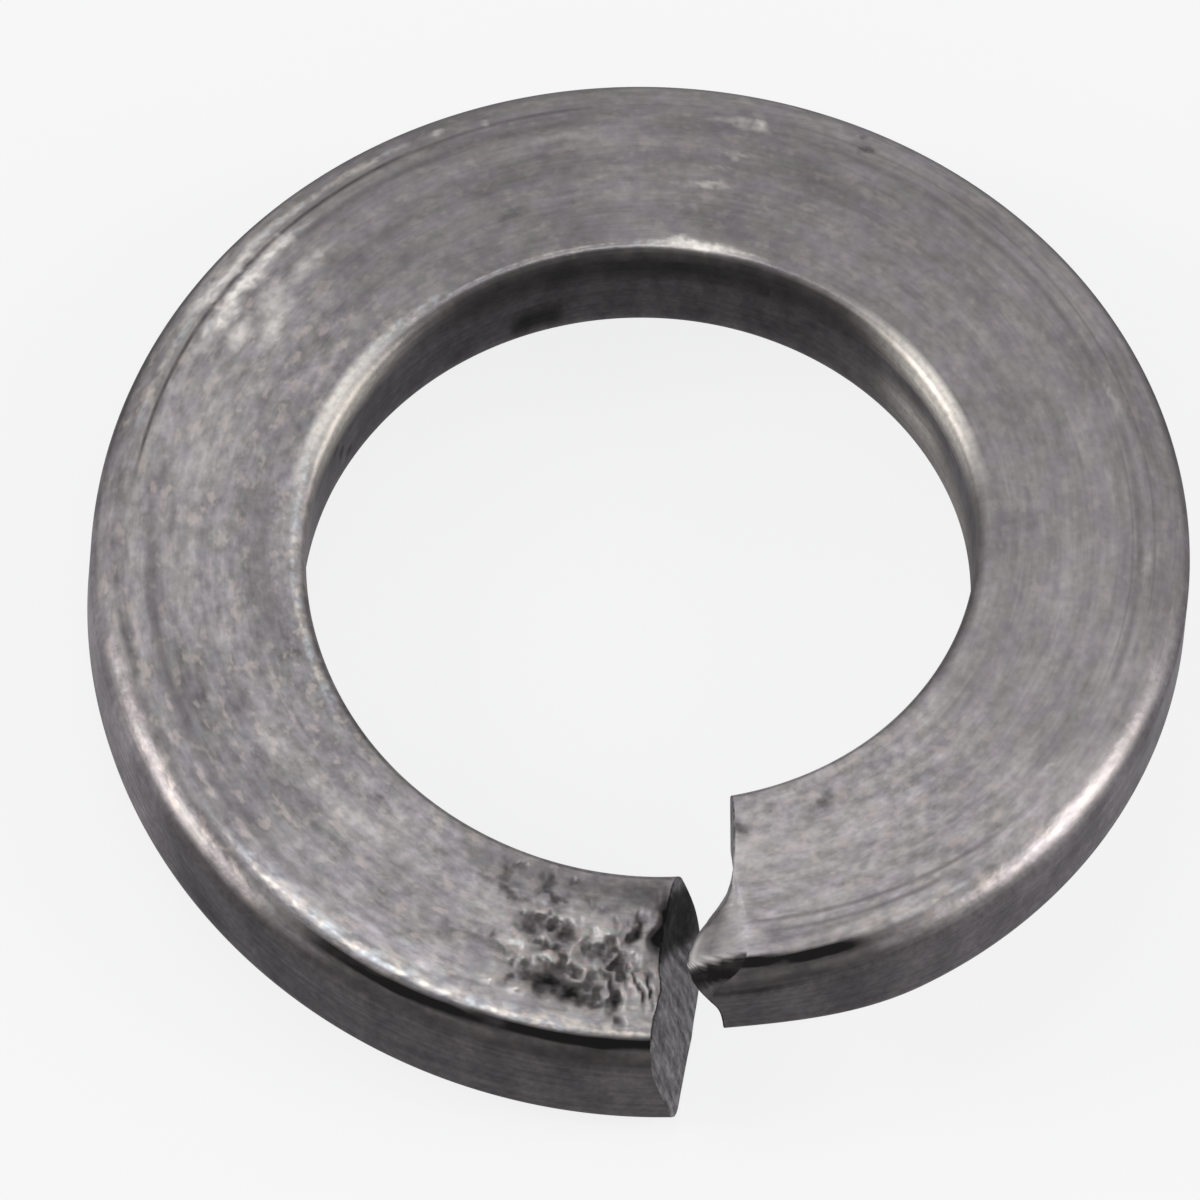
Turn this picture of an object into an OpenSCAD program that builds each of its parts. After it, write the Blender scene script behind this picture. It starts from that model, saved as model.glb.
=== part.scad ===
// Spring lock washer: one turn of rectangular wire, coiled on edge into a
// left-hand helix and sheared through, so that each end bites one way only.
// All lengths are in millimetres. The bore is on the Z axis, the lowest edge
// is at height 0, and the cut is at the front, on the -Y side.

/* [Bore] */
// Diameter of the bore
bore_d = 12.4; // [9:0.1:18]

/* [Wire section] */
// Width of the wire, along the radius
section_w = 4; // [3:0.1:6]
// Thickness of the wire at the bore
section_t = 2.6; // [1.8:0.05:3.6]
// How much thinner the wire is at the rim
keystone = 0.4; // [0:0.02:0.5]
// Width of the band at the rim where the upper face falls away
shoulder_w = 1.2; // [0.8:0.05:1.6]
// How far that band falls
shoulder_drop = 0.05; // [0:0.01:0.12]

/* [Edges] */
// Radius of the upper edge at the bore
bore_edge_r = 0.25; // [0.1:0.05:0.5]
// Width, along the radius, of the rounded upper edge at the rim
rim_edge_w = 0.85; // [0.3:0.05:1.1]
// Height of that rounded edge
rim_edge_h = 0.6; // [0.2:0.05:0.7]
// Radius of the two lower edges
under_edge_r = 0.3; // [0.1:0.05:0.5]

/* [Free height] */
// Height of the washer when nothing presses on it
free_h = 5.4; // [4.2:0.05:7.2]

/* [Cut] */
// Gap between the two ends, at the upper face and half way across the wire
cut_gap = 1.05; // [0.6:0.05:2]
// Angle of the cut from the radius, seen from above
cut_skew = 12; // [0:0.5:20]
// How far each end face turns away from the cut, so that the gap opens outwards
cut_flare = 3.5; // [0:0.5:6]
// How far each end face is hollowed across the wire
cut_hollow = 0.12; // [0:0.01:0.25]
// Lean of the low end's face from upright, at the bore
low_lean_bore = 11; // [0:0.5:16]
// Lean of the low end's face from upright, at the rim
low_lean_rim = 15.5; // [0:0.5:16]
// How far the low end's face swells out half way down, at the bore
low_swell = 0.09; // [0:0.01:0.2]
// Lean of the high end's face from upright
high_lean = 3; // [0:0.5:16]

/* [Shear lip] */
// How far the lip at the high end stands out from the face
lip_len = 0.74; // [0:0.02:0.9]
// Width of the lip, in from the rim
lip_w = 2.6; // [1.2:0.1:3]
// Depth of the lip's tip below the upper face
lip_depth = 0.48; // [0.3:0.02:0.8]
// Depth below the tip at which the lip has shrunk to half
lip_fade = 0.45; // [0.2:0.05:0.8]
// Share of its length that the lip loses in the rounded edge at the rim
lip_corner = 0.65; // [0:0.05:0.9]

/* [Shear roll] */
// How far the lower edge at the rim is rolled up at the high end
roll_up = 0.48; // [0:0.02:0.7]
// Length of the wire that is rolled up
roll_reach = 3.2; // [1:0.1:6]

/* [Hidden] */

bore_r = bore_d / 2;
rim_r = bore_r + section_w;
mean_r = bore_r + section_w / 2;
// Rings of points along the turn, segments in each rounded edge, and stretches in each wall and face
ring_count = 72;
edge_steps = 4;
wall_steps = 5;
face_steps = 6;
// The swept section stands this far through each wall, and the round tools trim it back
trim = rim_r * (1 - cos(180 / ring_count)) + 0.02;
// The round tools stand this far past the washer, above and below
past = 1;
// Points nearer than this to a wall are left out, as the wall has its own
near_wall = 0.001;
// Below 1, the hollow of the end faces is deepest nearer the bore
hollow_shift = 0.6;
// The end faces are filled by copies of the section, drawn in by these shares across and in height
cap_scales = [[0.88, 0.8], [0.76, 0.6], [0.5, 0.35], [0.25, 0.15]];
cap_middle = [mean_r, section_t / 2];
smooth = 144;

function mix(a, b, share) = a + (b - a) * share;
function clamp01(x) = min(1, max(0, x));
// Slow at both ends of the way from 0 to 1
function eased(share) = share * share * (3 - 2 * share);

// An oval arc about [x, y] with half axes w and h, and a round one with radius r
function oval(x, y, w, h, from_a, to_a) =
    [for (i = [0 : edge_steps])
        let (a = mix(from_a, to_a, i / edge_steps)) [x + w * cos(a), y + h * sin(a)]];
function arc(x, y, r, from_a, to_a) = oval(x, y, r, r, from_a, to_a);
// The points between two points, without the two themselves
function between(a, b, steps) = [for (i = [1 : steps - 1]) mix(a, b, i / steps)];

// Heights of the lower and the upper face of the wire at a radius, which draw together towards the rim
function foot_h(r) = keystone / 2 * (r - bore_r) / section_w;
function face_h(r) =
    section_t - foot_h(r) - shoulder_drop * clamp01((r - rim_r + shoulder_w) / shoulder_w);

bore_wall = bore_r - trim;
rim_wall = rim_r + trim;
bore_edge_z = face_h(bore_r + bore_edge_r) - bore_edge_r;
rim_edge_z = face_h(rim_r - rim_edge_w) - rim_edge_h;
rim_foot_z = foot_h(rim_r - under_edge_r) + under_edge_r;
bore_foot_z = foot_h(bore_r + under_edge_r) + under_edge_r;

// Rounded edges of the section, each without the end that meets a wall
upper_bore_edge =
    [for (p = arc(bore_r + bore_edge_r, bore_edge_z, bore_edge_r, 180, 90)) if (p.x > bore_r + near_wall) p];
upper_rim_edge =
    [for (p = oval(rim_r - rim_edge_w, rim_edge_z, rim_edge_w, rim_edge_h, 90, 0))
        if (p.x < rim_r - near_wall) p];
lower_rim_edge =
    [for (p = arc(rim_r - under_edge_r, rim_foot_z, under_edge_r, 0, -90)) if (p.x < rim_r - near_wall) p];
lower_bore_edge =
    [for (p = arc(bore_r + under_edge_r, bore_foot_z, under_edge_r, -90, -180)) if (p.x > bore_r + near_wall) p];

// Points along the upper face, between its two rounded edges
upper_face = [for (i = [1 : face_steps - 1])
    let (r = mix(bore_r + bore_edge_r, rim_r - rim_edge_w, i / face_steps)) [r, face_h(r)]];

// The wire's section as [radius, height], clockwise from the bore wall
section = concat(
    [[bore_wall, bore_edge_z]],
    upper_bore_edge,
    upper_face,
    upper_rim_edge,
    [[rim_wall, rim_edge_z]],
    between([rim_wall, rim_edge_z], [rim_wall, rim_foot_z], wall_steps),
    [[rim_wall, rim_foot_z]],
    lower_rim_edge,
    between(lower_rim_edge[len(lower_rim_edge) - 1], lower_bore_edge[0], face_steps),
    lower_bore_edge,
    [[bore_wall, bore_foot_z]],
    between([bore_wall, bore_foot_z], [bore_wall, bore_edge_z], wall_steps));

// Angle from the front at which a straight cut, skewed by skew and moved sideways by side, meets radius r
function cut_angle(r, skew, side) = asin((mean_r * sin(skew) + side * cos(skew)) / r) - skew;
// Share of the way across the wire, from the bore to the rim
function across(r) = clamp01((r - bore_r) / section_w);
// The hollow across an end face
function hollow(r) = cut_hollow * sin(180 * pow(across(r), hollow_shift));
// The lip grows towards the rim and is cut back in the rounded edge; its tip is at lip_depth and it fades below
function lip(r, h) =
    let (depth = max(0, face_h(r) - h),
         grown = clamp01((r - rim_r + lip_w) / (lip_w - rim_edge_w)),
         cut_back = clamp01((r - rim_r + rim_edge_w) / rim_edge_w),
         below = (depth - lip_depth) / lip_fade)
    lip_len * eased(grown) * (1 - lip_corner * cut_back * cut_back)
        * (below < 0 ? depth / lip_depth : 1 / (1 + below * below));

// Angles at which a point of the section meets the two end faces, counter-clockwise from the front
function high_end(r, h) =
    cut_angle(r, cut_skew - cut_flare,
        cut_gap / 2 + (section_t - h) * tan(high_lean) + hollow(r) - lip(r, h));
// The low end's face is hollow at its upper edge and swells out at its lower one, and half way down at the bore
function low_end(r, h) =
    let (lean = mix(low_lean_bore, low_lean_rim, across(r)),
         swell = low_swell * (1 - across(r)) * sin(180 * clamp01(h / section_t)))
    360 + cut_angle(r, cut_skew + cut_flare,
        -cut_gap / 2 + (section_t - h) * tan(lean) + swell - hollow(r) * (2 * h / section_t - 1));

// The turn falls evenly, so that the whole is free_h high and its lowest point is at height 0
fall = min([for (p = section) for (q = section)
    (free_h - p.y + q.y) / (low_end(q.x, q.y) - high_end(p.x, p.y))]);
foot = min([for (p = section) p.y - fall * low_end(p.x, p.y)]);

// The lower edge at the rim rises towards the high end
function roll(r, h, along) =
    let (down = clamp01((face_h(r) - h) / (face_h(r) - foot_h(r))))
    roll_up * across(r) * across(r) * down * eased(clamp01(1 - along / roll_reach));

// A point of the section at a share of the way along the turn, from the high end to the low end
function on_turn(p, share) =
    let (start = high_end(p.x, p.y),
         a = mix(start, low_end(p.x, p.y), share))
    [p.x * sin(a), -p.x * cos(a), p.y - fall * a - foot + roll(p.x, p.y, (a - start) * mean_r * PI / 180)];

n = len(section);
rings = [for (i = [0 : ring_count]) for (p = section) on_turn(p, i / ring_count)];
cap_count = len(cap_scales);
function cap_points(share) = concat(
    [for (k = cap_scales) for (p = section)
        on_turn([mix(cap_middle.x, p.x, k.x), mix(cap_middle.y, p.y, k.y)], share)],
    [on_turn(cap_middle, share)]);
high_cap = len(rings);
low_cap = high_cap + cap_count * n + 1;

// Triangles between two loops of n points that start at indices a and b
function band(a, b) =
    [for (i = [0 : n - 1]) let (j = (i + 1) % n) each [[a + i, b + i, b + j], [a + i, b + j, a + j]]];
// Triangles that fill an end, from its outline at index edge to the points that start at index first
function cap(edge, first) = concat(
    band(edge, first),
    [for (k = [0 : cap_count - 2]) each band(first + k * n, first + (k + 1) * n)],
    [for (i = [0 : n - 1])
        let (last = first + (cap_count - 1) * n) [last + i, last + n, last + (i + 1) % n]]);
function turned(faces) = [for (f = faces) [f[2], f[1], f[0]]];

module wire_turn() {
    polyhedron(
        points = concat(rings, cap_points(0), cap_points(1)),
        faces = concat(
            [for (i = [0 : ring_count - 1]) each band(i * n, (i + 1) * n)],
            turned(cap(0, high_cap)),
            cap(ring_count * n, low_cap)));
}

module spring_washer() {
    color([0.47, 0.45, 0.46])
    difference() {
        intersection() {
            wire_turn();
            translate([0, 0, -past]) cylinder(r = rim_r, h = free_h + 2 * past, $fn = smooth);
        }
        translate([0, 0, -past]) cylinder(r = bore_r, h = free_h + 2 * past, $fn = smooth);
    }
}

spring_washer();
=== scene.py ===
"""Looks of a spring lock washer: one turn of coiled steel wire, sheared through at the front."""

import math

import bpy
import numpy as np
from mathutils import Matrix, Vector


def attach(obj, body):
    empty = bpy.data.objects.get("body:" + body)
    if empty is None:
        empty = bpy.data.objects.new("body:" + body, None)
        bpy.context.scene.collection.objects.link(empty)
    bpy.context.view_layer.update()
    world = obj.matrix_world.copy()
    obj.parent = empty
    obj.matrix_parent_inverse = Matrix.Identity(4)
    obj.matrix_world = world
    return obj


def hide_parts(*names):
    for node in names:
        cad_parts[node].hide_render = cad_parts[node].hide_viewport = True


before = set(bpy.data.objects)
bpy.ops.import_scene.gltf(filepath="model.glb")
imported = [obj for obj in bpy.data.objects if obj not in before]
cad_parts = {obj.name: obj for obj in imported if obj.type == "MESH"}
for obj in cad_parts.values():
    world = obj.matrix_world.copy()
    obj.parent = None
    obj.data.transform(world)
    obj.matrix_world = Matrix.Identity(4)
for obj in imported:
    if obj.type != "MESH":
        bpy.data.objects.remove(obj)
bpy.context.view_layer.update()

MM = 0.001

# The washer's own sizes, in millimetres and degrees, as its source gives them
BORE_R = 6.2
SECTION_W = 4.0
SECTION_T = 2.6
KEYSTONE = 0.4
SHOULDER_W = 1.2
SHOULDER_DROP = 0.05
BORE_EDGE_R = 0.25
RIM_EDGE_W = 0.85
RIM_EDGE_H = 0.6
UNDER_EDGE_R = 0.3
FREE_H = 5.4
CUT_GAP = 1.05
CUT_SKEW = 12.0
CUT_FLARE = 3.5
CUT_HOLLOW = 0.12
LOW_LEAN_BORE = 11.0
LOW_LEAN_RIM = 15.5
LOW_SWELL = 0.09
HIGH_LEAN = 3.0
LIP_LEN = 0.74
LIP_W = 2.6
LIP_DEPTH = 0.48
LIP_FADE = 0.45
LIP_CORNER = 0.65
ROLL_UP = 0.48
ROLL_REACH = 3.2
RIM_R = BORE_R + SECTION_W
MEAN_R = BORE_R + SECTION_W / 2
MIDDLE = (MEAN_R, SECTION_T / 2)


# ---------------------------------------------------------------- small helpers

def clamp01(x):
    """x held between 0 and 1."""
    return np.clip(x, 0.0, 1.0)


def eased(x):
    """3 x^2 - 2 x^3, with x held between 0 and 1."""
    x = clamp01(x)
    return x * x * (3 - 2 * x)


def rise(x, start, reach):
    """0 up to start, then eased to 1 over reach."""
    return eased((x - start) / reach)


def fade(x, start, reach):
    """1 up to start, then eased to 0 over reach."""
    return 1 - rise(x, start, reach)


def mix(a, b, share):
    """The value a share of the way from a to b."""
    return a + (b - a) * share


def across(r):
    """Share of the way across the wire, from the bore to the rim."""
    return clamp01((r - BORE_R) / SECTION_W)


def hump(x, middle, reach):
    """A soft hill, exp(-((x - middle) / reach)^2)."""
    return np.exp(-((x - middle) / reach) ** 2)


# The random lattice repeats after this many points
LATTICE = 64


def grain(x, y, seed):
    """Smooth random hills between 0 and 1: a lattice of random heights, eased between its points."""
    table = np.random.default_rng(seed).random((LATTICE, LATTICE))
    column, row = np.floor(x).astype(int), np.floor(y).astype(int)
    u, v = eased(x - column), eased(y - row)

    def height(i, j):
        return table[i % LATTICE, j % LATTICE]

    low = mix(height(column, row), height(column + 1, row), u)
    high = mix(height(column, row + 1), height(column + 1, row + 1), u)
    return mix(low, high, v)


# ---------------------------------------------------------------- section of the wire

def foot_height(r):
    """Lower face: half the keystone, growing evenly to the rim."""
    return KEYSTONE / 2 * (r - BORE_R) / SECTION_W


def face_height(r):
    """Upper face: the thickness less the lower face's rise and the shoulder's fall."""
    fall_away = clamp01((r - RIM_R + SHOULDER_W) / SHOULDER_W)
    return SECTION_T - foot_height(r) - SHOULDER_DROP * fall_away


def oval(x, y, w, h, start, stop, count):
    """Points (x + w cos a, y + h sin a) for a from start to stop degrees."""
    a = np.radians(np.linspace(start, stop, count))
    return np.stack([x + w * np.cos(a), y + h * np.sin(a)], axis=1)


def arc(x, y, r, start, stop, count):
    """The same with one radius for both axes."""
    return oval(x, y, r, r, start, stop, count)


def straight(a, b, count):
    """Points a + (b - a) t between two points, without the two themselves."""
    t = np.linspace(0, 1, count + 2)[1:-1, None]
    return a * (1 - t) + b * t


# Points in each of the two upper edges and in a lower one, across the upper face, and along each other side
BORE_EDGE_POINTS = 7
RIM_EDGE_POINTS = 19
UNDER_EDGE_POINTS = 5
FACE_POINTS = 55
RIM_WALL_POINTS = 8
UNDERSIDE_POINTS = 8
BORE_WALL_POINTS = 7


def wire_section():
    """The section as (radius, height): two faces and two walls joined by four arcs, clockwise."""
    bore_top = face_height(BORE_R + BORE_EDGE_R) - BORE_EDGE_R
    rim_top = face_height(RIM_R - RIM_EDGE_W) - RIM_EDGE_H
    rim_foot = foot_height(RIM_R - UNDER_EDGE_R) + UNDER_EDGE_R
    bore_foot = foot_height(BORE_R + UNDER_EDGE_R) + UNDER_EDGE_R
    upper_bore = arc(BORE_R + BORE_EDGE_R, bore_top, BORE_EDGE_R, 180, 90, BORE_EDGE_POINTS)
    upper_rim = oval(RIM_R - RIM_EDGE_W, rim_top, RIM_EDGE_W, RIM_EDGE_H, 90, 0, RIM_EDGE_POINTS)
    lower_rim = arc(RIM_R - UNDER_EDGE_R, rim_foot, UNDER_EDGE_R, 0, -90, UNDER_EDGE_POINTS)
    lower_bore = arc(BORE_R + UNDER_EDGE_R, bore_foot, UNDER_EDGE_R, -90, -180, UNDER_EDGE_POINTS)
    r = np.linspace(upper_bore[-1, 0], upper_rim[0, 0], FACE_POINTS)[1:-1]
    return np.concatenate([
        upper_bore,
        np.stack([r, face_height(r)], axis=1),
        upper_rim,
        straight(upper_rim[-1], lower_rim[0], RIM_WALL_POINTS),
        lower_rim,
        straight(lower_rim[-1], lower_bore[0], UNDERSIDE_POINTS),
        lower_bore,
        straight(lower_bore[-1], upper_bore[0], BORE_WALL_POINTS),
    ])


# ---------------------------------------------------------------- sheared ends

def cut_angle(r, skew, side):
    """Angle at which a straight cut, skewed and moved sideways, meets radius r."""
    skew = math.radians(skew)
    return np.degrees(np.arcsin((MEAN_R * math.sin(skew) + side * math.cos(skew)) / r) - skew)


# Below 1, the hollow of the end faces is deepest nearer the bore
HOLLOW_SHIFT = 0.6
# Burr on the low end's upper edge: how far it stands out, its radius and its half width there,
# the height at which it starts and the height in which it grows
BURR = 0.1
BURR_R = 8.7
BURR_W = 0.42
BURR_FOOT = 1.5
BURR_RISE = 0.9


def hollow(r):
    """Depth of an end face's hollow: a half wave across the wire, deepest nearer the bore."""
    return CUT_HOLLOW * np.sin(np.pi * across(r) ** HOLLOW_SHIFT)


def lip(r, h):
    """Shear lip: grows to the rim, peaks at its depth, then fades as 1 / (1 + d^2)."""
    depth = np.maximum(0, face_height(r) - h)
    grown = eased((r - RIM_R + LIP_W) / (LIP_W - RIM_EDGE_W))
    cut_back = clamp01((r - RIM_R + RIM_EDGE_W) / RIM_EDGE_W)
    below = (depth - LIP_DEPTH) / LIP_FADE
    profile = np.where(below < 0, depth / LIP_DEPTH, 1 / (1 + below * below))
    return LIP_LEN * grown * (1 - LIP_CORNER * cut_back ** 2) * profile


def high_end(r, h):
    """Angle of the high end's face: the cut, leaned, hollowed and drawn out into the lip."""
    lean = math.tan(math.radians(HIGH_LEAN))
    side = CUT_GAP / 2 + (SECTION_T - h) * lean + hollow(r) - lip(r, h)
    return cut_angle(r, CUT_SKEW - CUT_FLARE, side)


def low_end(r, h):
    """Angle of the low end's face: hollow at its upper edge, swelling out below, with a burr above."""
    lean = np.tan(np.radians(mix(LOW_LEAN_BORE, LOW_LEAN_RIM, across(r))))
    side = -CUT_GAP / 2 + (SECTION_T - h) * lean - hollow(r) * (2 * h / SECTION_T - 1)
    side = side + LOW_SWELL * (1 - across(r)) * np.sin(np.pi * clamp01(h / SECTION_T))
    side = side + BURR * hump(r, BURR_R, BURR_W) * rise(h, BURR_FOOT, BURR_RISE)
    return 360 + cut_angle(r, CUT_SKEW + CUT_FLARE, side)


SECTION = wire_section()
START = high_end(SECTION[:, 0], SECTION[:, 1])
STOP = low_end(SECTION[:, 0], SECTION[:, 1])
# Fall of the helix in millimetres a degree, and its foot, so that it is FREE_H high and stands on 0
FALL = np.min((FREE_H - SECTION[:, 1, None] + SECTION[None, :, 1]) / (STOP[None, :] - START[:, None]))
FOOT = np.min(SECTION[:, 1] - FALL * STOP)


def roll(r, h, along):
    """Rise of the lower rim edge near the high end."""
    down = clamp01((face_height(r) - h) / (face_height(r) - foot_height(r)))
    return ROLL_UP * across(r) ** 2 * down * eased(1 - along / ROLL_REACH)


def on_turn(r, h, angle, dent):
    """Carries the section round the helix: (r sin a, -r cos a, h - fall a), less the dent."""
    along = np.radians(angle - high_end(r, h)) * MEAN_R
    a = np.radians(angle)
    z = h - FALL * angle - FOOT + roll(r, h, along) - dent
    return np.stack([r * np.sin(a), -r * np.cos(a), z], axis=-1)


# ---------------------------------------------------------------- marks on the upper face

# Dark dents: angle round the turn, radius, half length along, half width, depth, darkness, turn on the face
DENTS = [
    (22.3, 6.95, 0.20, 0.13, 0.010, 0.50, 0),
    (147.2, 9.50, 0.12, 0.08, 0.012, 0.60, 50),
    (192.6, 7.48, 0.26, 0.11, 0.006, 0.42, 24),
    (148.0, 9.78, 0.08, 0.05, 0.008, 0.45, 30),
    (31.5, 9.42, 0.15, 0.05, 0.008, 0.35, 0),
    (309.5, 6.90, 0.20, 0.12, 0.008, 0.34, 10),
    (51.5, 8.65, 0.30, 0.16, 0.002, 0.12, 40),
    (85.0, 7.25, 0.34, 0.12, 0.002, 0.12, 0),
    (113.0, 7.10, 0.16, 0.24, 0.002, 0.10, 0),
    (130.5, 7.32, 0.30, 0.08, 0.004, 0.20, 10),
    (213.0, 8.20, 0.90, 0.36, 0.002, 0.26, 0),
    (205.0, 8.40, 0.90, 0.30, 0.002, 0.18, 0),
    (151.0, 8.60, 1.10, 0.34, 0.002, 0.14, 0),
    (193.0, 8.35, 1.60, 0.30, 0.002, 0.18, 0),
    (176.0, 7.30, 1.10, 0.22, 0.002, 0.10, 0),
    (262.0, 7.30, 1.60, 0.30, 0.002, 0.12, 0),
    (281.0, 8.70, 1.60, 0.22, 0.002, 0.12, 0),
    (7.4, 6.94, 0.14, 0.20, 0.012, 0.65, 20),
    (343.0, 6.90, 2.20, 0.26, 0.002, 0.30, 0),
    (354.0, 6.70, 0.70, 0.50, 0.002, 0.40, 0),
    (328.0, 6.80, 0.60, 0.20, 0.004, 0.22, 0),
]
# The crushed patch by the low end, in the same terms
CRUSH = [
    (342.0, 8.74, 0.52, 0.23, 0.07, 1.00, -6),
    (345.2, 8.88, 0.46, 0.19, 0.06, 0.95, -4),
    (348.4, 9.04, 0.34, 0.10, 0.04, 0.70, 0),
    (339.2, 8.72, 0.16, 0.18, 0.04, 0.70, 50),
    (339.8, 8.48, 0.20, 0.08, 0.03, 0.50, 0),
    (344.7, 8.42, 0.20, 0.14, 0.05, 0.80, 0),
    (347.0, 8.66, 0.26, 0.14, 0.04, 0.70, 20),
    (350.2, 8.88, 0.09, 0.34, 0.07, 0.92, 0),
    (350.9, 9.26, 0.08, 0.14, 0.04, 0.75, 0),
    (349.6, 8.45, 0.16, 0.14, 0.05, 0.75, 0),
    (350.6, 8.14, 0.10, 0.17, 0.06, 0.85, -30),
    (342.3, 8.05, 0.32, 0.08, 0.04, 0.75, 24),
    (338.0, 7.74, 0.22, 0.20, 0.05, 0.72, 0),
    (340.6, 7.58, 0.30, 0.14, 0.06, 0.85, 0),
    (343.4, 7.76, 0.26, 0.18, 0.05, 0.78, 0),
    (347.6, 8.02, 0.34, 0.12, 0.04, 0.55, 10),
    (349.4, 7.78, 0.14, 0.08, 0.03, 0.50, 20),
    (352.9, 7.46, 0.08, 0.34, 0.06, 0.95, -24),
    (352.0, 7.98, 0.06, 0.10, 0.03, 0.60, 0),
    (357.1, 7.38, 0.20, 0.66, 0.08, 1.20, -11),
    (353.5, 8.60, 0.04, 0.40, 0.03, 0.65, 4),
    (354.9, 8.62, 0.03, 0.36, 0.03, 0.55, -3),
    (352.3, 8.30, 0.03, 0.30, 0.03, 0.50, -6),
    (334.0, 7.16, 0.32, 0.08, 0.02, 0.62, -24),
    (336.4, 7.22, 0.26, 0.06, 0.02, 0.55, 14),
    (340.4, 6.98, 0.48, 0.06, 0.02, 0.66, 9),
    (338.7, 6.78, 0.12, 0.24, 0.02, 0.60, -8),
    (332.3, 6.78, 0.13, 0.26, 0.02, 0.60, 0),
    (351.5, 6.62, 0.90, 0.34, 0.002, 0.30, 0),
    (333.6, 6.58, 0.20, 0.06, 0.02, 0.35, 0),
    (342.6, 6.56, 0.12, 0.07, 0.02, 0.50, 0),
    (347.6, 7.04, 0.32, 0.07, 0.02, 0.45, 0),
    (347.8, 6.82, 0.34, 0.16, 0.01, 0.25, 0),
    (334.1, 8.20, 0.11, 0.09, 0.02, 0.60, 0),
    (336.2, 8.37, 0.24, 0.05, 0.01, 0.35, -10),
    (349.8, 7.40, 0.10, 0.10, 0.02, 0.40, 0),
    (328.4, 8.44, 0.24, 0.16, 0.01, 0.20, 0),
    (331.5, 8.28, 0.26, 0.07, 0.01, 0.20, 0),
]
# Bright rubbed places and painted highlights, among them the glint on the bore's edge at 164 degrees:
# angle, radius, half length, half width, brightness, turn on the face
RUBS_AND_HIGHLIGHTS = [
    (226.0, 9.36, 0.85, 0.10, 1.00, 0),
    (220.5, 9.40, 0.50, 0.08, 0.80, 0),
    (230.6, 9.24, 0.26, 0.16, 0.90, 0),
    (226.0, 9.76, 1.10, 0.12, 0.70, 0),
    (217.0, 9.76, 0.60, 0.07, 0.30, 0),
    (228.2, 8.32, 0.46, 0.15, 0.60, 20),
    (225.5, 8.75, 0.40, 0.20, 0.45, 20),
    (218.5, 8.68, 0.50, 0.11, 0.40, 0),
    (231.4, 8.75, 0.36, 0.17, 0.55, 0),
    (234.0, 9.30, 0.70, 0.10, 0.25, 0),
    (159.2, 9.30, 0.16, 0.07, 0.55, 0),
    (162.5, 9.32, 0.30, 0.06, 0.25, 0),
    (161.8, 8.66, 0.34, 0.05, 0.22, 0),
    (163.2, 8.22, 0.30, 0.05, 0.20, 0),
    (163.8, 7.86, 0.32, 0.06, 0.34, 0),
    (102.8, 9.24, 0.34, 0.05, 0.26, 0),
    (80.5, 9.38, 0.40, 0.05, 0.16, 0),
    (48.8, 9.02, 0.20, 0.06, 0.35, 0),
    (164.0, 6.47, 0.55, 0.07, 1.00, 0),
    (191.2, 9.64, 0.06, 0.06, 0.80, 0),
    (196.0, 9.66, 0.07, 0.05, 0.70, 0),
    (182.5, 8.90, 0.80, 0.10, 0.14, 0),
    (12.0, 7.55, 1.20, 0.34, 0.18, 0),
    (24.0, 7.45, 0.80, 0.25, 0.14, 0),
    (303.0, 7.60, 2.00, 0.26, 0.16, 0),
    (292.0, 7.80, 0.60, 0.18, 0.20, 0),
    (247.0, 8.40, 1.80, 0.60, 0.12, 0),
]
# Bright ridges thrown up in and round the crushed patch, raised in the mesh and lighter with painted glints,
# in the same terms
RIDGES = [
    (343.0, 8.28, 0.38, 0.10, 0.95, 14),
    (346.6, 8.26, 0.30, 0.11, 0.55, -10),
    (345.7, 7.98, 0.14, 0.07, 0.60, 0),
    (341.0, 7.86, 0.14, 0.11, 0.60, 20),
    (339.0, 7.70, 0.06, 0.12, 0.50, 0),
    (339.0, 8.28, 0.28, 0.13, 0.35, 0),
    (351.3, 8.72, 0.08, 0.30, 0.45, 0),
    (351.3, 8.98, 0.08, 0.07, 0.70, 0),
    (354.2, 8.50, 0.09, 0.42, 0.60, 0),
    (352.7, 8.45, 0.08, 0.42, 0.65, 0),
    (355.6, 8.40, 0.07, 0.34, 0.45, 0),
    (355.4, 9.12, 0.10, 0.08, 0.70, 0),
    (355.1, 8.88, 0.09, 0.07, 0.60, 0),
    (350.4, 7.68, 0.22, 0.12, 0.40, 0),
    (347.6, 7.62, 0.34, 0.10, 0.30, 0),
    (353.9, 7.78, 0.12, 0.20, 0.35, 0),
    (355.6, 7.56, 0.08, 0.08, 0.50, 0),
    (336.5, 7.94, 0.36, 0.08, 0.35, 0),
    (334.2, 7.68, 0.50, 0.16, 0.28, 0),
    (342.4, 7.34, 0.90, 0.09, 0.35, 2),
    (338.7, 7.30, 0.18, 0.08, 0.45, 0),
    (349.5, 7.22, 0.44, 0.07, 0.25, 6),
    (346.4, 9.24, 0.80, 0.09, 0.35, 0),
    (337.4, 6.86, 0.12, 0.08, 0.40, 0),
    (331.2, 6.68, 0.11, 0.08, 0.35, 0),
    (334.3, 6.50, 0.16, 0.06, 0.12, 0),
    (347.8, 8.84, 0.12, 0.06, 0.55, 0),
]
# Dark spots on the bore wall: angle, height, half length, half height, darkness
BORE_SPOTS = [
    (190.8, 0.80, 0.54, 0.32, 1.0),
    (233.0, 0.80, 0.12, 0.16, 0.6),
    (236.0, 1.25, 0.08, 0.22, 0.6),
    (238.6, 1.80, 0.08, 0.24, 0.5),
    (151.5, 1.95, 0.18, 0.28, 0.9),
]


# Columns of the tables above that hold a mark's value
DEPTH, DARKNESS, BRIGHTNESS = 4, 5, 4
# Power in the form of a mark: 2 is a soft hill, and more is flatter in the middle and steeper at the side
HILL, PATCH = 2, 2.5
# Hills to a millimetre in the wide and in the narrow waver of the marks' outlines
WIDE_WAVER, NARROW_WAVER = 3.3, 9
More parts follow.
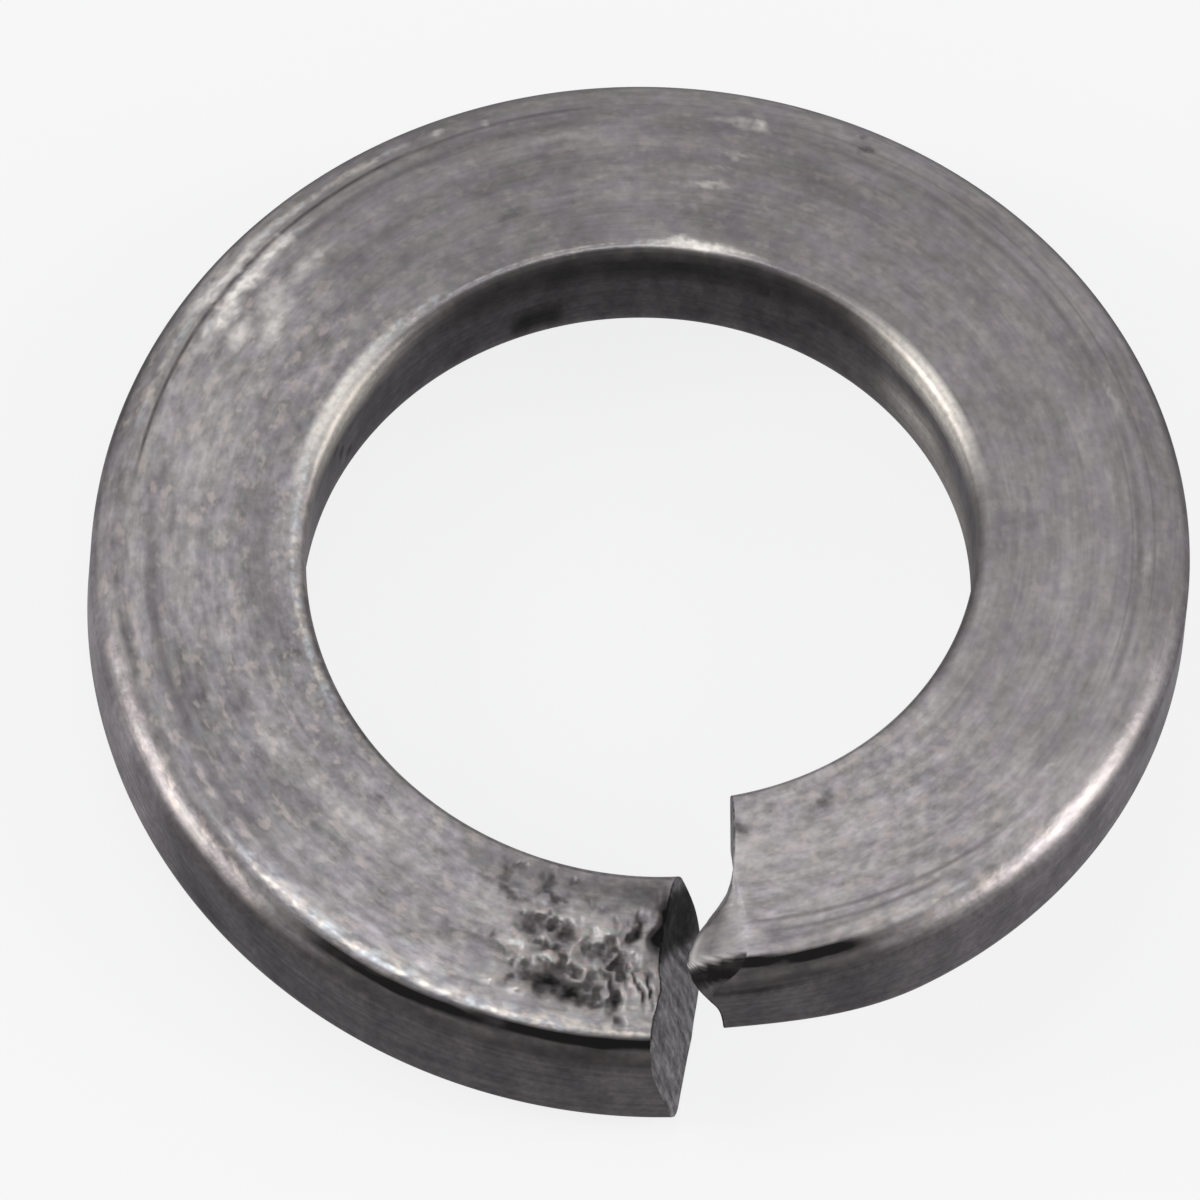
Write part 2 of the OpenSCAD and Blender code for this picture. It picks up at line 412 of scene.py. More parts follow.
# How far the crushed patch's ridges and lumps stand up
RIDGE_RISE = 0.02
# The crushed patch's first angle, its two radii, and the angle past which its ground is calmer
PATCH_FROM, PATCH_INNER, PATCH_OUTER, PATCH_CALM = 333, 6.9, 9.25, 350.5


def deepest(angle, r, table, column, power):
    """Largest over the rows of value * exp(-|x/a|^p - |y/b|^p), x and y in each row's own turned axes."""
    total = np.zeros_like(angle)
    for row in table:
        middle, radius, length, width = row[:4]
        x = np.radians(angle - middle) * radius
        y = r - radius
        lean = math.radians(row[-1])
        x, y = x * math.cos(lean) - y * math.sin(lean), x * math.sin(lean) + y * math.cos(lean)
        spot = np.exp(-np.abs(x / length) ** power - np.abs(y / width) ** power)
        total = np.maximum(total, row[column] * spot)
    return total


def ragged(angle, r):
    """Moves points about by up to 0.17 mm, so that the marks have torn outlines."""
    x, y = np.radians(angle) * MEAN_R, r
    wide = (x * WIDE_WAVER, y * WIDE_WAVER)
    narrow = (x * NARROW_WAVER, y * NARROW_WAVER)
    off_x = 0.20 * (grain(*wide, seed=31) - 0.5) + 0.12 * (grain(*narrow, seed=33) - 0.5)
    off_y = 0.20 * (grain(*wide, seed=32) - 0.5) + 0.14 * (grain(*narrow, seed=34) - 0.5)
    return angle + np.degrees(off_x / MEAN_R), r + off_y


def lumps(angle, r):
    """Broken ground of the crushed patch: coarse and fine hills, below 0 in its cracks and above 0 on its
    ridges, and 0 outside it."""
    x, y = np.radians(angle) * MEAN_R, r
    zone = rise(angle, PATCH_FROM, 6) * rise(r, PATCH_INNER, 0.7) * eased((PATCH_OUTER - r) / 0.3)
    zone = zone * (1 - 0.6 * rise(angle, PATCH_CALM, 1.5))
    coarse = grain(x * 3.4 + 1.2 * y, y * 3.1 - 0.8 * x, seed=8)
    fine = grain(x * 8 - 2 * y, y * 8 + 2 * x, seed=9)
    return zone * (1.2 * (coarse - 0.5) + 0.8 * (fine - 0.5)) * 2


def face_marks(angle, r, h):
    """Dent depth, dirt, rubbed places with painted highlights, and ridges with painted glints at points of
    the wire; only the upper face is marked.
    """
    upper = fade(face_height(r) - h, 0.05, 0.3)
    x, y = ragged(angle, r)
    ground = lumps(angle, r)
    ridge = np.maximum(deepest(x, y, RIDGES, BRIGHTNESS, HILL), 0.55 * rise(ground, 0.1, 0.8))
    dirt = np.maximum(deepest(x, y, DENTS, DARKNESS, PATCH), deepest(x, y, CRUSH, DARKNESS, PATCH))
    dirt = np.maximum(dirt, 0.68 * rise(-ground, 0.12, 0.75))
    dent = deepest(x, y, DENTS, DEPTH, PATCH) + deepest(x, y, CRUSH, DEPTH, PATCH)
    dent = dent - RIDGE_RISE * ridge - RIDGE_RISE * ground
    rub_and_highlight = deepest(x, y, RUBS_AND_HIGHLIGHTS, BRIGHTNESS, PATCH)
    return dent * upper, dirt * upper, rub_and_highlight * upper, ridge * (1 - dirt) * upper


# Share of the underside that is bare of scale
UNDERSIDE_CLEAN = 0.6


def wall_scale(r, h):
    """Share of dark drawing scale: none on the upper face, full on the walls, less underneath."""
    under = 1 - UNDERSIDE_CLEAN * fade(h - foot_height(r), 0, 0.2)
    return rise(face_height(r) - h, 0.1, 0.22) * under


# Radius at which the painted dark reflection on the rim's edge starts at angle 0 and at LOW_ANGLE, by the two
# ends, and how much further out it starts with each degree away from there
LOW_ANGLE = 355
RIM_BLACK_HIGH = (9.575, 0.0068)
RIM_BLACK_LOW = (9.63, 0.0028)
# The bore spots' form is exp(-x^6 - y^6): nearly square, with soft corners
SPOT_POWER = 6


def bore_darkening(angle, r, h):
    """Black of the bore wall: two easing steps up it, from 112 degrees on, and the dark spots."""
    total = 0.36 * rise(h, 0.1, 0.6) + 0.46 * rise(h, 1.6, 0.5)
    total = total * rise(angle, 112, 30) * mix(1, 0.35, rise(angle, 200, 20))
    for at, height, length, tall, dark in BORE_SPOTS:
        x = np.radians(angle - at) * BORE_R
        spot = np.exp(-(x / length) ** SPOT_POWER - ((h - height) / tall) ** SPOT_POWER)
        total = np.maximum(total, dark * spot)
    return total * fade(r - BORE_R, 0.08, 0.1)


def rim_dark_reflection(angle, r, h):
    """Painted dark reflection on the rim's edge: a dark line that drifts outwards, a greyer band outside it,
    and a thin line below them at the high end, each fading with the angle from the cut."""
    high = RIM_BLACK_HIGH[0] + RIM_BLACK_HIGH[1] * angle
    low = RIM_BLACK_LOW[0] + RIM_BLACK_LOW[1] * (LOW_ANGLE - angle)
    out = r - np.where(angle < 180, high, low)
    depth = face_height(r) - h
    rim = rise(out, -0.02, 0.06) * fade(out, 0.17, 0.16)
    rim = np.maximum(rim, 0.68 * rise(r, 9.8, 0.06) * fade(depth, 0.2, 0.12))
    rim = rim * np.maximum(fade(angle, 12, 19), rise(angle, 302, 20))
    rim = rim * (0.93 + 0.28 * grain(np.radians(angle) * MEAN_R * 2.4, r * 9, seed=41))
    return np.maximum(rim, 0.55 * hump(depth, 0.36, 0.06) * fade(angle, 6, 8))


def darkening_and_dark_reflection(angle, r, h):
    """Darkening of the bore wall and of a stretch of its upper edge, and the painted dark reflection on the
    rim's edge beside the cut.
    """
    edge = 0.5 * fade(r, 6.27, 0.22) * rise(angle, 26, 34) * fade(angle, 86, 16)
    return np.maximum(np.maximum(bore_darkening(angle, r, h), edge), rim_dark_reflection(angle, r, h))


def bore_painted_highlight(angle, r, h):
    """Painted highlights of the bore: three stretches of its upper edge, and two stripes of painted
    reflection along its wall.
    """
    depth = face_height(r) - h
    edge = fade(r, mix(6.44, 6.58, rise(angle, 180, 20)), 0.12) * fade(depth, 0.25, 0.5) * 0.9
    edge = edge * np.maximum(hump(angle, 114, 17), 0.9 * hump(angle, 234, 13))
    edge = np.maximum(edge, hump(angle, 164, 6) * hump(r, 6.46, 0.1) * fade(depth, 0.2, 0.1))
    stripe = hump(h, 1.05, 0.35) * 0.42 * hump(angle, 117, 9)
    stripe = stripe + hump(h, 0.5, 0.5) * 0.25 * hump(angle, 100, 20)
    return np.maximum(edge, stripe * fade(r - BORE_R, 0.04, 0.06))


# ---------------------------------------------------------------- mesh of the washer

# Rings along the turn, those in its last stretch by the crushed patch, and where that stretch starts
RINGS_FAR = 560
RINGS_NEAR = 190
NEAR_FROM = 0.91
# Steps round an end's rubbed edge, in degrees, and loops that fill the face inside it
BREAK_STEPS = (22.5, 45, 67.5, 90)
CAP_LOOPS = 18
# Radius of that rubbed edge, and how much larger it is above the lip
EDGE_BREAK = 0.03
LIP_BREAK = 0.36
# Height of the wide and the fine tears of an end face, and depth of the low end's pit
TEAR, FINE_TEAR, PIT = 0.03, 0.012, 0.14
# Degrees from which a fold between two faces is shaded sharp
SHARP_FROM = 60
# Half the section's width and thickness
HALF = np.array([SECTION_W / 2, SECTION_T / 2])


def edge_break(end):
    """Radius to which an end's edge is rubbed: small, but wide above the lip."""
    r, h = SECTION[:, 0], SECTION[:, 1]
    if end is low_end:
        return np.full(len(r), EDGE_BREAK)
    return EDGE_BREAK + LIP_BREAK * rise(r, 7.6, 1.6) * fade(face_height(r) - h, 0, 0.3)


def torn(end, r, h):
    """Depth of an end face's tears: fine ridges down the face, and a pit near the low end's bore."""
    tears = TEAR * (grain(r * 9, h * 2.2, seed=21) - 0.5)
    tears = tears + FINE_TEAR * (grain(r * 22, h * 9, seed=22) - 0.5)
    off_middle = np.abs((np.stack([r, h], axis=-1) - MIDDLE) / HALF)
    inner = clamp01(8 * (1 - np.max(off_middle, axis=-1)))
    pit = PIT * hump(r, 7.2, 0.6) * hump(h, 1.75, 0.5) if end is low_end else 0.0
    return (pit - tears) * inner


def cap_loops(end, into):
    """Loops of one end face: a quarter round over the rubbed edge, then shrinking loops to the middle."""
    size = edge_break(end)
    rows = []
    for q in BREAK_STEPS:
        inset = size * (1 - math.cos(math.radians(q)))
        loop = MIDDLE + (SECTION - MIDDLE) * (1 - inset[:, None] / HALF)
        rows.append((loop, size * (1 - math.sin(math.radians(q)))))
    outer = rows[-1][0]
    for k in np.linspace(1, 0, CAP_LOOPS + 1)[1:-1]:
        rows.append((MIDDLE + (outer - MIDDLE) * k, 0.0))
    rows.append((np.array([MIDDLE]), 0.0))
    parts = []
    for loop, back in rows:
        r, h = loop[:, 0], loop[:, 1]
        parts.append((r, h, end(r, h) + into * np.degrees((back + torn(end, r, h)) / r)))
    return parts


def end_painted_shade(end, r, h):
    """Painted shade on the end faces: black in the low end's pit, and under the high end's lip and past its
    ridge.
    """
    if end is low_end:
        down = r - BORE_R + 0.83 * (SECTION_T - h)
        return rise(down, 0.35, 0.3) * fade(down, 1.75, 0.4) * 0.97
    under = rise(face_height(r) - h - LIP_DEPTH, 0.02, 0.1) * rise(r, 7.4, 0.5)
    past = rise(r, 9.50, 0.1) * (1 - 0.4 * rise(r, 9.95, 0.1))
    return np.maximum(0.9 * under, past)


def end_polish(end, r, h):
    """Share of an end face drawn smooth: the upper slope of the high end's lip."""
    if end is low_end:
        return np.zeros_like(r)
    return fade(face_height(r) - h - LIP_DEPTH, -0.02, 0.1) * rise(r, 7.3, 0.5)


def end_slope_shade(end, r, h):
    """Painted shade on the lip's slope, the same at either end: none where it leaves the face, then growing.
    """
    return 0.5 * rise(face_height(r) - h, 0, 0.2)


def end_painted_highlight(end, r, h):
    """Painted highlights along the lip's tip, up its side at the rim and, fainter, along its brow."""
    if end is low_end:
        return np.zeros_like(r)
    depth = face_height(r) - h
    tip = hump(depth, LIP_DEPTH - 0.07, 0.06) * rise(r, 8.7, 0.4) * fade(r, 9.45, 0.1)
    side = hump(r, 9.47, 0.05) * rise(depth, 0.02, 0.1) * fade(depth, LIP_DEPTH, 0.1)
    brow = 0.35 * hump(depth, 0.06, 0.07) * rise(r, 7.3, 0.3) * fade(r, 9.3, 0.2)
    return 0.8 * np.maximum(np.maximum(tip, side), brow)


def band(a, b):
    """Quads between two loops of the section's points that start at indices a and b."""
    j = np.arange(len(SECTION))
    after = (j + 1) % len(SECTION)
    return np.stack([a + j, a + after, b + after, b + j], axis=1)


def cap_faces(edge, first, size, flip):
    """Quads between the loops of an end face, from the wire's end ring inwards, and the fan in its middle."""
    n = len(SECTION)
    j = np.arange(n)
    loops = [edge] + list(range(first, first + size - 1, n))
    quads = np.concatenate([band(a, b) for a, b in zip(loops[:-1], loops[1:])])
    fan = np.stack([loops[-1] + j, loops[-1] + (j + 1) % n, np.full(n, first + size - 1)], axis=1)
    return (quads[:, ::-1], fan[:, ::-1]) if flip else (quads, fan)


# How far the ends' part of the first map lies from the sides' part
END_MAP_UP = 40
# Where the upper face starts in the second map, on from its rounded edge at the bore
FACE_MAP_START = 0.14


def lay_maps(mesh, sides, ends, r, h, angle):
    """Two maps in millimetres: on the sides both hold the length along the wire and round its section, on
    the ends "wire" holds (radius, height), and "face" goes on as the upper face does."""
    step = np.linalg.norm(np.roll(SECTION, -1, axis=0) - SECTION, axis=1)
    around = np.concatenate([[0], np.cumsum(step)])
    point = sides % len(SECTION)
    v = around[point]
    v[:, 1:3] = around[point[:, 0] + 1][:, None]
    side_uv = np.stack([np.radians(angle[sides]) * MEAN_R, v], axis=-1).reshape(-1, 2)
    wire_uv = np.stack([r[ends], h[ends] + END_MAP_UP], axis=-1)
    face_uv = np.stack([np.radians(angle[ends]) * MEAN_R, r[ends] - BORE_R + FACE_MAP_START], axis=-1)
    for name, end_uv in (("wire", wire_uv), ("face", face_uv)):
        layer = mesh.uv_layers.new(name=name)
        layer.data.foreach_set("uv", np.concatenate([side_uv, end_uv]).astype(np.float32).ravel())


def on_ends(of_end, body, high_cap, low_cap):
    """An end's values, carried onto the wire beside it so that they meet across the edge."""
    r, h, angle = body
    beside = np.where(angle < 180, of_end(high_end, r, h), of_end(low_end, r, h))
    return np.concatenate([beside, of_end(high_end, *high_cap[:2]), of_end(low_end, *low_cap[:2])])


def washer_mesh():
    """The section carried along the turn as rings, and closed by loops over each sheared face."""
    n = len(SECTION)
    far = np.linspace(0, NEAR_FROM, RINGS_FAR)[:-1]
    share = np.concatenate([far, np.linspace(NEAR_FROM, 1, RINGS_NEAR)])[:, None]
    rings = len(share)
    first = START + np.degrees(edge_break(high_end) / SECTION[:, 0])
    last = STOP - np.degrees(edge_break(low_end) / SECTION[:, 0])
    body = (np.tile(SECTION[:, 0], rings), np.tile(SECTION[:, 1], rings), mix(first, last, share).ravel())
    high_cap = [np.concatenate(part) for part in zip(*cap_loops(high_end, 1))]
    low_cap = [np.concatenate(part) for part in zip(*cap_loops(low_end, -1))]
    r, h, angle = (np.concatenate(part) for part in zip(body, high_cap, low_cap))
    dent, dirt, rub_and_highlight, ridge = face_marks(angle, r, h)
    points = on_turn(r, h, angle, dent) * MM

    sides = np.concatenate([band(i * n, (i + 1) * n) for i in range(rings - 1)])
    cap_size = len(high_cap[0])
    high_quads, high_fan = cap_faces(0, rings * n, cap_size, True)
    low_quads, low_fan = cap_faces((rings - 1) * n, rings * n + cap_size, cap_size, False)
    quads = np.concatenate([sides, high_quads, low_quads])
    fans = np.concatenate([high_fan, low_fan])
    mesh = bpy.data.meshes.new("washer_steel")
    mesh.from_pydata(points.tolist(), [], quads.tolist() + fans.tolist())
    mesh.update()
    ends = np.concatenate([quads[len(sides):].ravel(), fans.ravel()])
    lay_maps(mesh, sides, ends, r, h, angle)

    values = {
        "turn": angle,
        "scale": wall_scale(r, h),
        "dirt": dirt,
        "rub_and_highlight": rub_and_highlight,
        "ridge": ridge,
        "darkening_and_dark_reflection": darkening_and_dark_reflection(angle, r, h),
        "bore_painted_highlight": bore_painted_highlight(angle, r, h),
        "end_painted_shade": on_ends(end_painted_shade, body, high_cap, low_cap),
        "end_polish": on_ends(end_polish, body, high_cap, low_cap),
        "end_painted_highlight": on_ends(end_painted_highlight, body, high_cap, low_cap),
        "end_slope_shade": on_ends(end_slope_shade, body, high_cap, low_cap),
    }
    for name, value in values.items():
        mesh.attributes.new(name, "FLOAT", "POINT").data.foreach_set("value", value.astype(np.float32))
    sheared = np.zeros(len(mesh.polygons), np.int32)
    sheared[len(sides):] = 1
    mesh.polygons.foreach_set("material_index", sheared)
    mesh.shade_smooth()
    mesh.set_sharp_from_angle(angle=math.radians(SHARP_FROM))
    piece = bpy.data.objects.new("washer_steel", mesh)
    bpy.context.scene.collection.objects.link(piece)
    return piece


# ---------------------------------------------------------------- node helpers

def socket(tree, value, target):
    """Joins an output to an input, or sets the input where the value is a number or a colour."""
    if isinstance(value, bpy.types.NodeSocket):
        tree.links.new(value, target)
    else:
        target.default_value = value


def maths(tree, kind, a, b=0.0, c=0.0):
    """One step of arithmetic on numbers or outputs."""
    node = tree.nodes.new("ShaderNodeMath")
    node.operation = kind
    for value, target in zip((a, b, c), node.inputs):
        socket(tree, value, target)
    return node.outputs[0]


def ramp(tree, value, low, high, out_low=0.0, out_high=1.0):
    """An eased step from out_low at low to out_high at high."""
    node = tree.nodes.new("ShaderNodeMapRange")
    node.interpolation_type = "SMOOTHSTEP"
    limits = {"From Min": low, "From Max": high, "To Min": out_low, "To Max": out_high}
    socket(tree, value, node.inputs["Value"])
    for name, limit in limits.items():
        socket(tree, limit, node.inputs[name])
    return node.outputs["Result"]


def blend_colour(tree, share, a, b, kind="MIX"):
    """a with b laid over it by share."""
    node = tree.nodes.new("ShaderNodeMix")
    node.data_type = "RGBA"
    node.blend_type = kind
    socket(tree, share, node.inputs[0])
    socket(tree, a, node.inputs[6])
    socket(tree, b, node.inputs[7])
    return node.outputs[2]


def toned(tree, colour, factor):
    """A colour made lighter or darker by a factor."""
    return blend_colour(tree, 1.0, colour, factor, "MULTIPLY")


def attribute(tree, name):
    """A value that the mesh keeps at each point."""
    node = tree.nodes.new("ShaderNodeAttribute")
    node.attribute_name = name
    return node.outputs["Fac"]


def stretched(tree, source, x, y, z):
    """Coordinates multiplied by x, y and z."""
    node = tree.nodes.new("ShaderNodeVectorMath")
    node.operation = "MULTIPLY"
    tree.links.new(source, node.inputs[0])
    node.inputs[1].default_value = (x, y, z)
    return node.outputs[0]


def noise(tree, source, size, detail, rough):
    """Cloudy noise around a half, of the given scale, number of octaves and roughness."""
    node = tree.nodes.new("ShaderNodeTexNoise")
    tree.links.new(source, node.inputs["Vector"])
    node.inputs["Scale"].default_value = size
    node.inputs["Detail"].default_value = detail
    node.inputs["Roughness"].default_value = rough
    return node.outputs["Fac"]


def wire_noise(tree, wire, along, around, detail, rough):
    """Noise on a map of the wire, with the given hills to a millimetre along it and around it."""
    return noise(tree, stretched(tree, wire, along, around, 1), 1.0, detail, rough)


def product(tree, *values):
    """All the values multiplied."""
    total = values[0]
    for value in values[1:]:
        total = maths(tree, "MULTIPLY", total, value)
    return total


def window(tree, value, first, last, soft):
    """1 between first and last, easing to 0 over soft on either side."""
    into = ramp(tree, value, first - soft, first)
    return product(tree, into, ramp(tree, value, last, last + soft, 1.0, 0.0))


# Fine lines that the coiling rolls left on the face:
# radius at angle 0, change of radius a degree, half width, first and last angle, strength
GROOVES = [
    (8.86, 0.0105, 0.080, 2, 42, 0.50),
    (9.10, 0.0090, 0.080, 4, 32, 0.45),
    (9.11, 0, 0.040, 60, 104, 0.25),
    (9.52, 0, 0.050, 70, 160, 0.25),
    (9.52, 0, 0.060, 176, 214, 0.45),
    (9.54, 0, 0.070, 196, 256, 0.85),
    (6.92, 0, 0.080, 36, 92, 0.18),
]
# Wider dull bands, in the same terms
SHADES = [
    (9.24, 0, 0.130, 58, 104, 0.50),
    (9.24, 0, 0.130, 100, 160, 0.55),
    (9.22, 0, 0.120, 176, 222, 0.55),
    (9.10, 0, 0.200, 254, 318, 0.75),
    (7.05, 0, 0.360, 230, 282, 0.42),
    (8.20, 0, 0.200, 262, 290, 0.25),
    (6.62, 0, 0.300, 324, 372, 0.60),
    (9.36, 0, 0.120, 4, 40, 0.30),
]
# Bright lines between them, in the same terms: painted highlights along the bore's and the rim's edges,
# and bright lines on the face
HIGHLIGHT_LINES = [
    (9.36, 0, 0.090, 212, 238, 0.70),
    (9.74, 0, 0.120, 196, 250, 0.50),
    (6.44, 0, 0.120, 242, 296, 0.65),
    (6.56, 0, 0.170, 204, 254, 0.50),
    (6.48, 0, 0.070, 150, 176, 1.00),
    (6.47, 0, 0.040, 168, 222, 0.40),
    (8.98, 0, 0.090, 318, 352, 0.20),
    (9.44, 0, 0.170, 300, 364, 0.50),
    (9.57, 0, 0.100, 300, 368, 1.00),
    (9.66, 0, 0.080, 12, 36, 0.55),
]
# Places where the face is lighter or darker all over, partly wear and partly painted light and shade: first
# and last angle, how softly they end, share
TONES_AND_PAINTED_LIGHT = [
    (0, 40, 16, 0.20),
    (84, 160, 20, -0.09),
    (184, 204, 10, -0.12),
    (222, 262, 12, 0.08),
    (282, 298, 10, -0.18),
]
# Over how many degrees a line fades at either end
LINE_FADE = 8
# Colours of the face: its two hues of steel, the cream and blue-grey clouds, the two hues of the painted
# highlights, the dull bands and the dark lines
STEEL = ((0.286, 0.262, 0.274, 1), (0.286, 0.270, 0.268, 1))
CREAM = (0.52, 0.45, 0.41, 1)
BLUE_GREY = (0.21, 0.22, 0.25, 1)
HIGHLIGHT_HUES = ((0.64, 0.69, 0.72, 1), (0.82, 0.75, 0.66, 1))
DULL = (0.115, 0.105, 0.110, 1)
LINE_DARK = (0.060, 0.050, 0.050, 1)
# Colours of the walls' scale, the painted highlight of the bore's edge, the rubbed places with their painted
# highlights, the crushed patch's ridges with their painted glints, and the black of dirt, darkening and
# painted dark reflection
SCALE = ((0.076, 0.069, 0.073, 1), (0.104, 0.096, 0.101, 1))
BORE_HIGHLIGHT_METAL = (0.90, 0.85, 0.78, 1)
RUB_AND_HIGHLIGHT_COLOUR = (0.95, 0.90, 0.85, 1)
RIDGE_GLINT_METAL = ((0.44, 0.49, 0.45, 1), (0.66, 0.54, 0.50, 1))
DIRT_AND_SHADE_BLACK = (0.013, 0.012, 0.012, 1)
# Colours of the ends: torn steel, the painted shade on the lip's slope, the black of the painted shade in the
# hollows and under the lip, and the painted highlight of the lip's tip
TORN_STEEL = ((0.075, 0.071, 0.075, 1), (0.250, 0.238, 0.244, 1))
SLOPE_SHADE = (0.02, 0.02, 0.02, 1)
PAINTED_SHADE_BLACK = (0.011, 0.010, 0.010, 1)
TIP_HIGHLIGHT = (0.55, 0.52, 0.52, 1)
# Weak grey gloss of the places that are black
BLACK_TINT = (0.6, 0.6, 0.61, 1)
BLACK_GLOSS = 0.1
# Share of black from which a place stops being metal
BLACK_FROM = 0.4
# Roughness of the drawn steel at its smoothest and dullest, of the torn ends and of the lip's smooth slope
DRAWN_ROUGH = (0.31, 0.37)
TORN_ROUGH, LIP_ROUGH = 0.46, 0.34
# Depth in metres of the fine relief on the face and walls, and on the ends, and the share of it that shows
FACE_RELIEF = 0.00002
END_RELIEF = 0.00003
RELIEF_SHARE = 0.5
# Scale of the finest noise on the face and walls, and on the ends
FINE_GRIT = 6000
END_GRIT = 8000


def rolled_lines(tree, radius, turn, table):
    """The strongest of the lines: each is a narrow hill over radius, faded in and out along the turn."""
    total = None
    for at, slope, width, first, last, strength in table:
        centre = maths(tree, "MULTIPLY_ADD", turn, slope, at)
        off = maths(tree, "ABSOLUTE", maths(tree, "SUBTRACT", radius, centre))
        hill = ramp(tree, off, 0.0, width, strength, 0.0)
        line = product(tree, hill, window(tree, turn, first + LINE_FADE, last - LINE_FADE, LINE_FADE))
        total = line if total is None else maths(tree, "MAXIMUM", total, line)
    return total


def new_material(name):
    """A material with its node tree and its shader."""
    material = bpy.data.materials.new(name)
    material.use_nodes = True
    return material, material.node_tree, material.node_tree.nodes["Principled BSDF"]


def wire_map(tree, name):
    """One of the two maps of the wire, in millimetres."""
    node = tree.nodes.new("ShaderNodeUVMap")
    node.uv_map = name
    return node.outputs["UV"]


def radius_and_turn(tree, here):
    """Distance from the bore's axis in millimetres, and the angle round the turn."""
    length = tree.nodes.new("ShaderNodeVectorMath")
    length.operation = "LENGTH"
    tree.links.new(stretched(tree, here, 1000, 1000, 0), length.inputs[0])
    return length.outputs["Value"], attribute(tree, "turn")


def wave(tree, turn, middle, share):
    """share times the cosine of the angle from middle."""
    angle = maths(tree, "MULTIPLY_ADD", turn, math.pi / 180, -math.radians(middle))
    return maths(tree, "MULTIPLY", maths(tree, "COSINE", angle), share)


def swing(tree, value, spread):
    """Noise made a factor about 1: 1 - spread at its low, 1 + spread at its high."""
    return ramp(tree, value, 0.28, 0.72, 1 - spread, 1 + spread)


def bare_finish(tree, here):
    """Colour, relief and specks of steel rubbed by the rolls: bands, clouds, mottling, lines, faint tints,
    painted highlights along the edges and painted light and shade round the turn.
    """
    wire = wire_map(tree, "face")
    radius, turn = radius_and_turn(tree, here)
    # The mottling is strong by the cut and on the left, and weaker on the right and at the back
    worn = maths(tree, "MAXIMUM", ramp(tree, turn, 204, 226), ramp(tree, turn, 34, 66, 1.0, 0.0))
    worn = maths(tree, "MAXIMUM", worn, 0.4)
    grit = noise(tree, here, FINE_GRIT, 2.0, 0.5)
    bands = wire_noise(tree, wire, 0.12, 1.7, 3.0, 0.55)
    clouds = wire_noise(tree, wire, 0.5, 0.9, 3.0, 0.55)
    blotches = wire_noise(tree, wire, 1.5, 2.4, 3.0, 0.6)
    flecks = wire_noise(tree, wire, 2.8, 4.6, 2.0, 0.55)
    specks = wire_noise(tree, wire, 5.5, 6.5, 1.0, 0.5)
    tints = wire_noise(tree, wire, 2.4, 3.6, 2.0, 0.6)
    lines = wire_noise(tree, wire, 0.7, 11, 2.0, 0.5)
    hues = wire_noise(tree, wire, 1.3, 2.2, 2.0, 0.5)
    colour = blend_colour(tree, ramp(tree, hues, 0.38, 0.62), *STEEL)
    # Painted light and shade round the turn: a slow swing of the face's level, and the tones' stretches
    level = maths(tree, "ADD", 1.0, wave(tree, turn, 20, 0.12))
    for first, last, soft, share in TONES_AND_PAINTED_LIGHT:
        level = maths(tree, "ADD", level, product(tree, window(tree, turn, first, last, soft), share))
    level = product(tree, level, swing(tree, bands, 0.13), swing(tree, clouds, 0.13), swing(tree, grit, 0.06))
    mottle = product(tree, maths(tree, "SUBTRACT", blotches, 0.5), worn, 0.85)
    level = product(tree, level, maths(tree, "ADD", 1.0, mottle), swing(tree, lines, 0.06))
    glints = product(tree, maths(tree, "SUBTRACT", flecks, 0.5), worn, 1.3)
    level = product(tree, level, maths(tree, "ADD", 1.0, glints))
    colour = toned(tree, colour, level)
    cream = product(tree, ramp(tree, tints, 0.54, 0.68), worn, 0.42)
    colour = blend_colour(tree, cream, colour, CREAM)
    blue = product(tree, ramp(tree, tints, 0.28, 0.46, 1.0, 0.0), worn, 0.34)
    colour = blend_colour(tree, blue, colour, BLUE_GREY)
    broken = product(tree, rolled_lines(tree, radius, turn, GROOVES), ramp(tree, flecks, 0.3, 0.6, 0.6, 1.0))
    shaded = rolled_lines(tree, radius, turn, SHADES)
    shaded = product(tree, shaded, ramp(tree, blotches, 0.3, 0.62, 0.5, 1.0))
    # Painted highlights along the edges, and bright lines on the face
    bright = rolled_lines(tree, radius, turn, HIGHLIGHT_LINES)
    bright = product(tree, bright, ramp(tree, specks, 0.34, 0.64, 0.30, 0.95))
    bright = product(tree, bright, ramp(tree, flecks, 0.36, 0.58, 0.35, 1.0))
    glare = blend_colour(tree, ramp(tree, tints, 0.44, 0.56), *HIGHLIGHT_HUES)
    colour = blend_colour(tree, shaded, colour, DULL)
    colour = blend_colour(tree, bright, colour, glare)
    colour = blend_colour(tree, broken, colour, LINE_DARK)
    relief = maths(tree, "MULTIPLY_ADD", grit, 0.4, product(tree, blotches, 0.5))
    relief = maths(tree, "MULTIPLY_ADD", flecks, 0.4, relief)
    relief = maths(tree, "MULTIPLY_ADD", broken, -0.8, relief)
    return colour, relief, specks


def raised(tree, bsdf, height, depth):
    """Fine relief of the given depth in metres."""
    bump = tree.nodes.new("ShaderNodeBump")
    bump.inputs["Strength"].default_value = RELIEF_SHARE
    bump.inputs["Distance"].default_value = depth
    tree.links.new(height, bump.inputs["Height"])
    tree.links.new(bump.outputs[0], bsdf.inputs["Normal"])


def finish(tree, bsdf, colour, black, all_black, rough):
    """Sets the shader: metal, except that it is dull and no metal where black reaches all_black."""
    socket(tree, colour, bsdf.inputs["Base Color"])
    socket(tree, ramp(tree, black, BLACK_FROM, all_black, 1.0, 0.0), bsdf.inputs["Metallic"])
    bsdf.inputs["Specular Tint"].default_value = BLACK_TINT
    bsdf.inputs["Specular IOR Level"].default_value = BLACK_GLOSS
    socket(tree, rough, bsdf.inputs["Roughness"])


